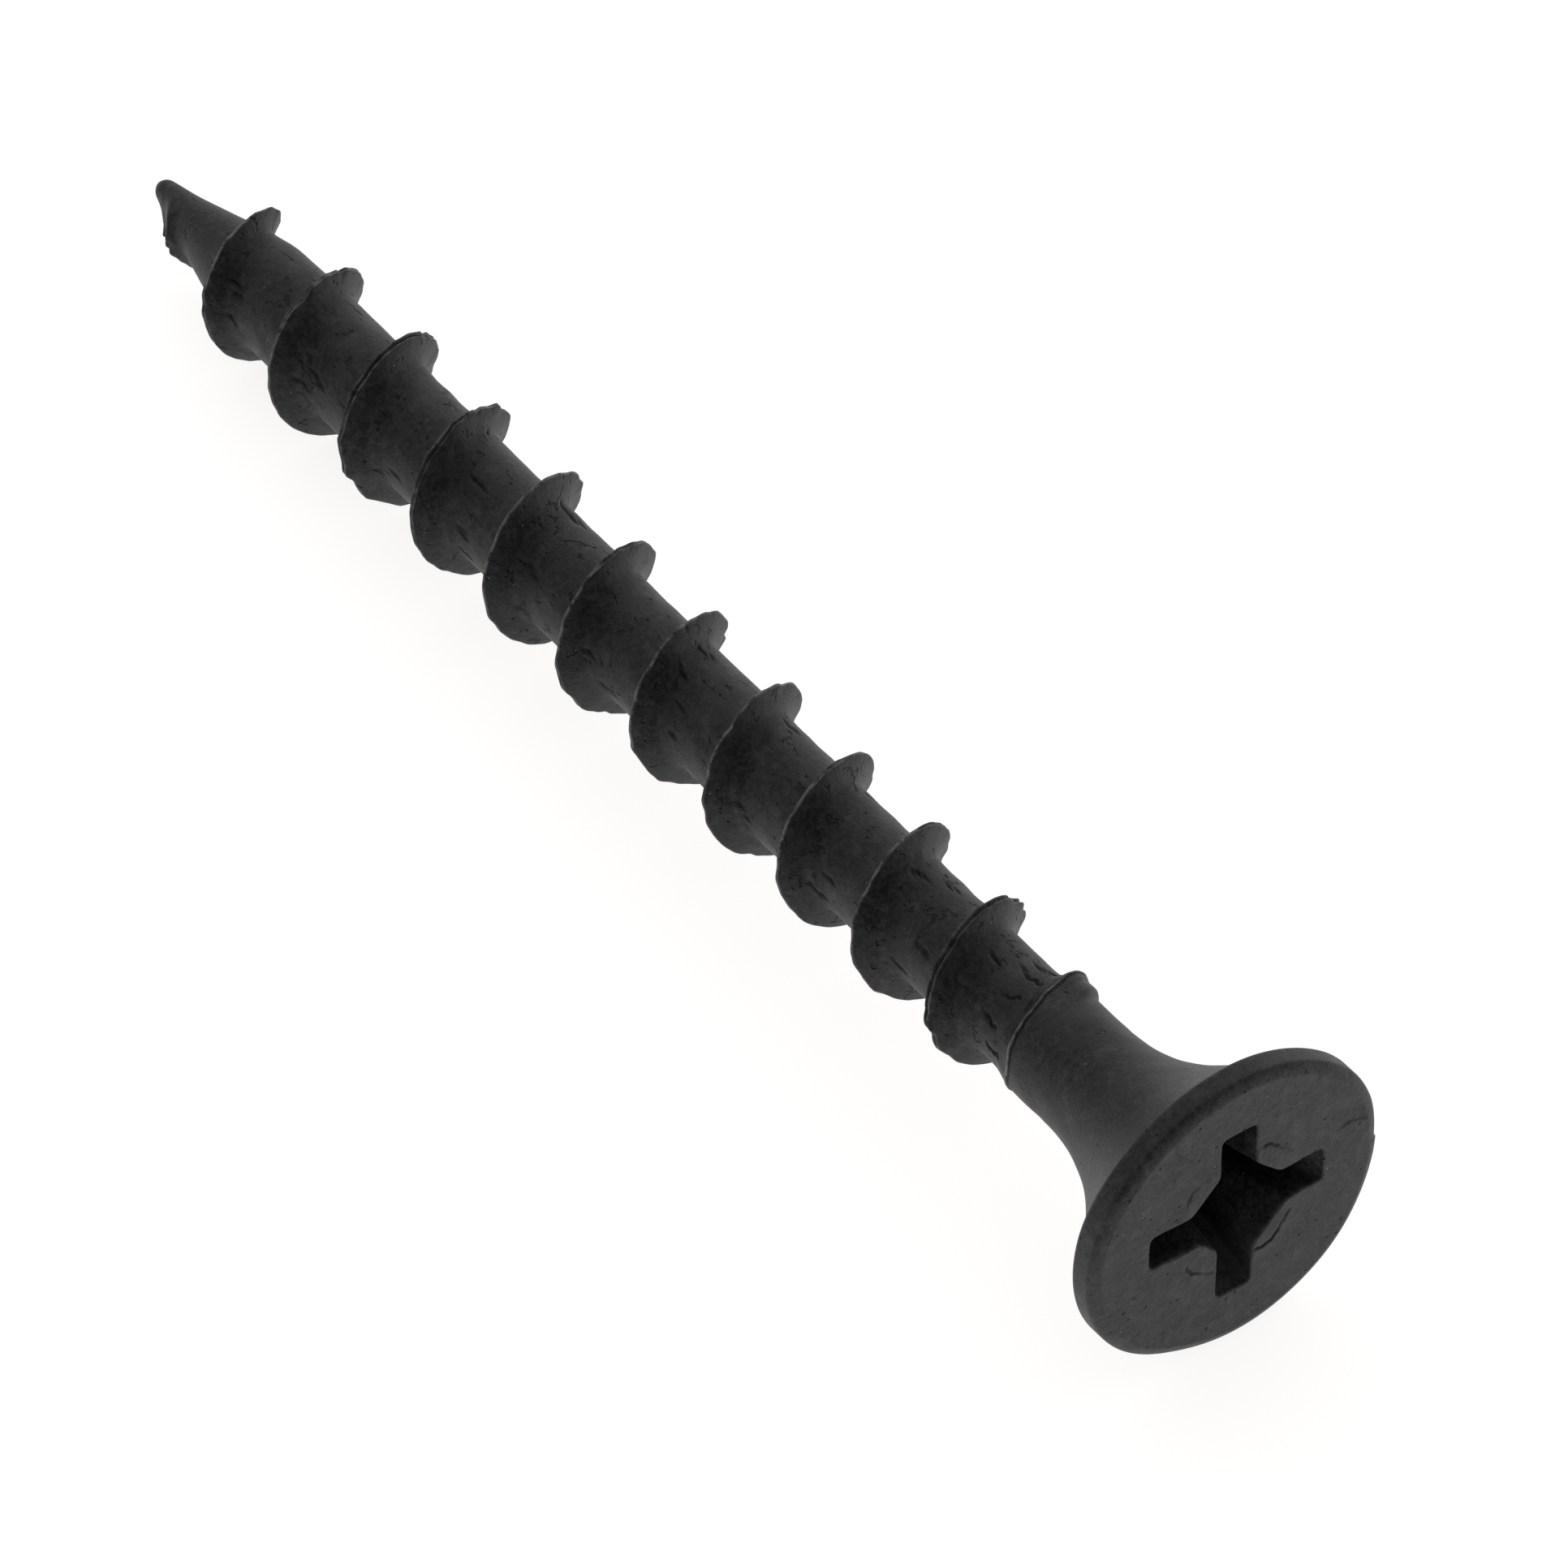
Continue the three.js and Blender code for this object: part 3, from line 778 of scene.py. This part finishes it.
def black_phosphate():
    """The coating: near-black grain with paler bloom and scuffs, pale lines where the crests and
    edges are rubbed, a painted highlight along the step's lip, dark cracks, fissures and pits,
    painted shade at the foot of the step, and specks of dust. Its patterns are in millimetres."""
    material = bpy.data.materials.new("black_phosphate")
    material.use_nodes = True
    tree = material.node_tree
    shader = tree.nodes["Principled BSDF"]
    start = Signal(tree)
    metres = start.node("ShaderNodeTexCoord", output=3)
    place = start.vector("SCALE", {0: metres, "Scale": 1 / MM})
    # The edge attribute also brings the painted highlight on the step's lip, and the crack attribute
    # brings the painted shade at the step's foot.
    edge = start.node("ShaderNodeAttribute", {"attribute_name": "edge"}, output=2)
    crack = start.node("ShaderNodeAttribute", {"attribute_name": "crack"}, output=2)

    grain = start.noise(place, 7.0, 4.0, 0.65)
    fine = start.noise(place, 26.0, 2.0, 0.6)
    bloom = start.noise(place, 0.9, 3.0, 0.6)
    scuffs = start.noise(place, 2.6, 5.0, 0.7)

    towards_head = start.node("ShaderNodeSeparateXYZ", None, {0: place}, output=0)
    rolled = 1 - towards_head.above(*ROLLING_END)
    warp = start.noise(place, 5.0, 2.0, 0.6, output=1)
    warp = start.vector("SCALE", {0: warp, "Scale": 0.3})
    warped = start.vector("ADD", {0: place, 1: warp})
    stretched = start.vector("MULTIPLY", {0: warped, 1: (0.45, 1, 1)})
    net = {"Vector": stretched, "Scale": 1.5}
    line = start.node("ShaderNodeTexVoronoi", {"feature": "DISTANCE_TO_EDGE"}, net)
    broken = start.noise(place, 2.2, 2.0, 0.5)
    fissure = (1 - line.above(0.018, 0.05)) * broken.above(0.57, 0.62) * rolled

    cells = {"Vector": place, "Scale": 3.4}
    spot = start.node("ShaderNodeTexVoronoi", None, cells)
    lot = start.node("ShaderNodeTexVoronoi", None, cells, output=1)
    chance = start.node("ShaderNodeSeparateColor", None, {0: lot}, output=0)
    other_chance = start.node("ShaderNodeSeparateColor", None, {0: lot}, output=1)
    pit = (1 - spot.above(0.07, 0.2)) * chance.above(0.78, 0.82)
    speck = (1 - spot.above(0.05, 0.1)) * other_chance.above(0.86, 0.9)

    # Pale lines where the crests, the rim and the recess's edge are worn, and a painted highlight
    # along the step's lip.
    wear_and_highlight = edge.above(0.93, 1.0) * (0.25 + 0.75 * scuffs.above(0.42, 0.56))
    ragged = crack * (0.4 + 0.6 * fine.above(0.4, 0.52))
    dark = start.math("MAXIMUM", ragged, 0.9 * start.math("MAXIMUM", fissure, pit), clamp=True)

    struck = towards_head.above(*STRUCK_FACE)
    tone = (0.75 * grain + 0.25 * fine).above(0.41, 0.6)
    colour = start.blend(tone, BLACK, DARK_GREY)
    colour = start.blend(0.5 * bloom.above(0.46, 0.66), colour, BLOOM_GREY)
    patch = (0.6 * scuffs + 0.4 * grain).above(0.44, 0.56)
    colour = start.blend(0.5 * patch * struck, colour, PATCH_GREY)
    colour = start.blend(0.5 * scuffs.above(0.53, 0.64), colour, SCUFF_GREY)
    colour = start.blend(0.85 * wear_and_highlight, colour, WORN_STEEL_AND_HIGHLIGHT)
    # Near black in cracks, fissures and pits, and at the foot of the step as painted shade.
    colour = start.blend(0.85 * dark, colour, CRACK_AND_SHADE_BLACK)
    colour = start.blend(0.7 * speck, colour, DUST)
    tree.links.new(colour.socket, shader.inputs["Base Color"])

    matt = 0.42 + 0.2 * grain + 0.1 * dark - 0.08 * wear_and_highlight
    tree.links.new(matt.socket, shader.inputs["Roughness"])
    height = 0.6 * grain + 0.35 * fine + 0.2 * scuffs - 1.2 * dark + 0.3 * speck
    relief = {"Strength": 0.85, "Distance": 0.045 * MM, "Height": height}
    bump = start.node("ShaderNodeBump", None, relief)
    tree.links.new(bump.socket, shader.inputs["Normal"])
    shader.inputs["IOR"].default_value = 1.42
    return material


screw.data.materials.append(black_phosphate())
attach(screw, "root")
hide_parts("screw")

# The floor: a white table, lit from inside so that it stays white, and tilted to touch the head's
# rim and the thread near the point, which are what the screw would rest on.
RIM_REST_X = -0.45
RIM_REST_Z = -HEAD_RADIUS - 0.005
REST_SLOPE = 0.0655
FLOOR_HALF = 1500
floor_x = FLOOR_HALF * np.array([-1, 1, 1, -1])
floor_y = FLOOR_HALF * np.array([-1, -1, 1, 1])
floor_z = RIM_REST_Z - REST_SLOPE * (floor_x - RIM_REST_X)
floor_points = np.stack([floor_x, floor_y, floor_z], axis=1)
floor = mesh_object("white_table", floor_points, np.array([[0, 1, 2], [0, 2, 3]]))


def white_table():
    """Plain matt white that glows, so that it stays evenly pale."""
    material = bpy.data.materials.new("white_table")
    material.use_nodes = True
    shader = material.node_tree.nodes["Principled BSDF"]
    shader.inputs["Base Color"].default_value = (0.5, 0.5, 0.5, 1)
    shader.inputs["Roughness"].default_value = 0.9
    shader.inputs["Specular IOR Level"].default_value = 0.0
    shader.inputs["Emission Color"].default_value = (1.0, 0.985, 0.97, 1)
    shader.inputs["Emission Strength"].default_value = 0.86
    return material


floor.data.materials.append(white_table())

# The light: a white cloth tent all round, bright overhead and dim near the floor, except on the far
# side. It has a dim opening on the side from which the screw is seen.
CAMERA_AZIMUTH = np.radians(52.79)
CAMERA_ELEVATION = np.radians(46.46)
back = np.array(
    [
        np.sin(CAMERA_AZIMUTH) * np.cos(CAMERA_ELEVATION),
        -np.cos(CAMERA_AZIMUTH) * np.cos(CAMERA_ELEVATION),
        np.sin(CAMERA_ELEVATION),
    ]
)
right = np.array([np.cos(CAMERA_AZIMUTH), np.sin(CAMERA_AZIMUTH), 0])
up = np.cross(back, right)

OPENING_INNER = np.cos(np.radians(48))
OPENING_OUTER = np.cos(np.radians(84))
FAR_SIDE = (-0.56, 0.83, 0)
LOW_WALL = (0.13, 0.132, 0.135, 1)
ROOF = (0.97, 0.98, 1.0, 1)
OPENING = (0.22, 0.22, 0.225, 1)
scene = bpy.context.scene
world = bpy.data.worlds.new("light_tent")
world.use_nodes = True
scene.world = world
tent = world.node_tree
tent.nodes.clear()
sky = Signal(tent)
direction = sky.node("ShaderNodeTexCoord")
facing = sky.vector("DOT_PRODUCT", {0: direction, 1: tuple(back)}, output=1)
opening = facing.above(OPENING_OUTER, OPENING_INNER)
rise = sky.node("ShaderNodeSeparateXYZ", None, {0: direction}, output=2)
beyond = sky.vector("DOT_PRODUCT", {0: direction, 1: FAR_SIDE}, output=1)
bright = (rise + 0.75 * beyond.above(0.78, 1.0)).above(0.0, 0.6)
walls = sky.blend(bright, LOW_WALL, ROOF)
walls = sky.blend(opening, walls, OPENING)
lit = sky.node("ShaderNodeBackground", None, {"Color": walls, "Strength": 1.0})
seen = sky.node("ShaderNodeBackground", None, {"Color": (1, 1, 1, 1), "Strength": 1.05})
camera_ray = sky.node("ShaderNodeLightPath")
mixed = sky.node("ShaderNodeMixShader", None, {0: camera_ray, 1: lit, 2: seen})
sky.node("ShaderNodeOutputWorld", None, {"Surface": mixed}, output=None)
scene.view_settings.view_transform = "Standard"

# The camera: a very long lens, far from the screw, so that its view is almost parallel. It looks
# down at the screw from its head end.
AIM = np.array([-16.97, 0, 0])  # a point on the screw's axis, from the face
CAMERA_DISTANCE = 693.9
SENSOR = 36.0
LENS = 691.174
camera_data = bpy.data.cameras.new("camera")
camera_data.sensor_width = SENSOR
camera_data.lens = LENS
camera_data.clip_start = 0.01
camera_data.clip_end = 20
camera = bpy.data.objects.new("camera", camera_data)
scene.collection.objects.link(camera)
camera_axes = np.eye(4)
camera_axes[:3, 0] = right
camera_axes[:3, 1] = up
camera_axes[:3, 2] = back
camera_axes[:3, 3] = (AIM + CAMERA_DISTANCE * back) * MM
camera.matrix_world = Matrix(camera_axes.tolist())
scene.camera = camera
